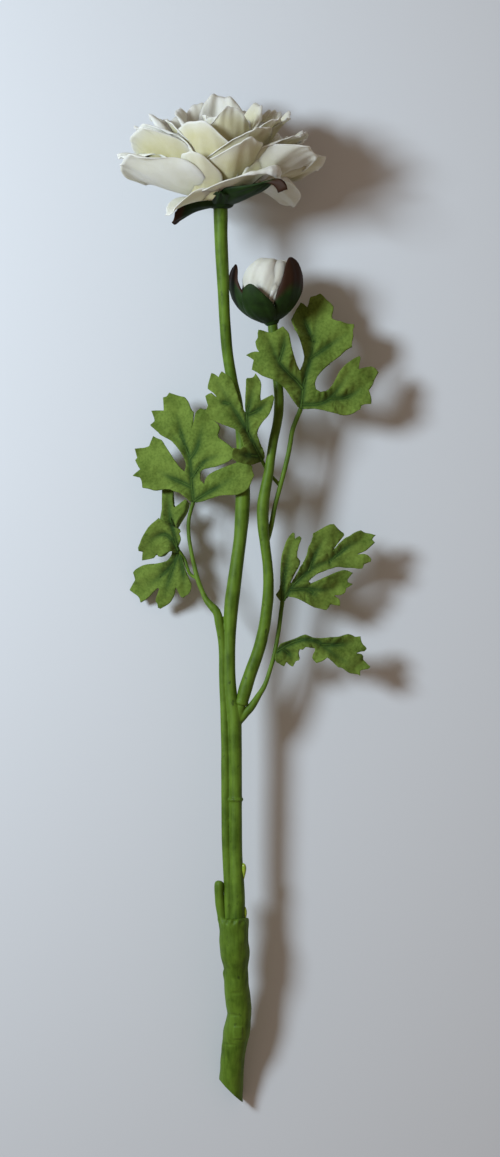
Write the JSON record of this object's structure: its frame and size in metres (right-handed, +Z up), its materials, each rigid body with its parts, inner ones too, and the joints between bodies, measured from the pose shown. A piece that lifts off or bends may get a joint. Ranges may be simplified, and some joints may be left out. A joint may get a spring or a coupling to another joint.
{
  "type": "ranunculus flower",
  "caption": "Artificial ranunculus spray: an open double white bloom and a bud on a forked green stem with cut leaves, lying on its back.",
  "frame": {"origin": "middle of the underside of the box round the spray, on the surface it lies on", "axes": "+Y along the spray from the cut stem's end to the bloom, +Z up from the surface it lies on, +X to the right seen from above with the bloom away"},
  "size_m": [0.1164, 0.4596, 0.0683],
  "materials": {
    "stem": "satin moulded green",
    "leaf": "matte pressed cloth",
    "sepal": "matte dark green cloth",
    "petal": "matte thin white cloth"
  },
  "bodies": {
    "root": {"stem_sleeve": "stem", "main_stem": "stem", "bud_stem": "stem", "left_leaf_stalk": "stem", "right_leaf_stalk": "stem", "upper_leaf_stalk": "stem", "left_end_leaf": "leaf", "left_side_leaf": "leaf", "right_end_leaf": "leaf", "right_side_leaf": "leaf", "upper_end_leaf": "leaf", "upper_side_leaf": "leaf", "bloom_petals": "petal", "bloom_calyx": "sepal", "bud_petals": "petal", "bud_calyx": "sepal"}
  },
  "joints": []
}
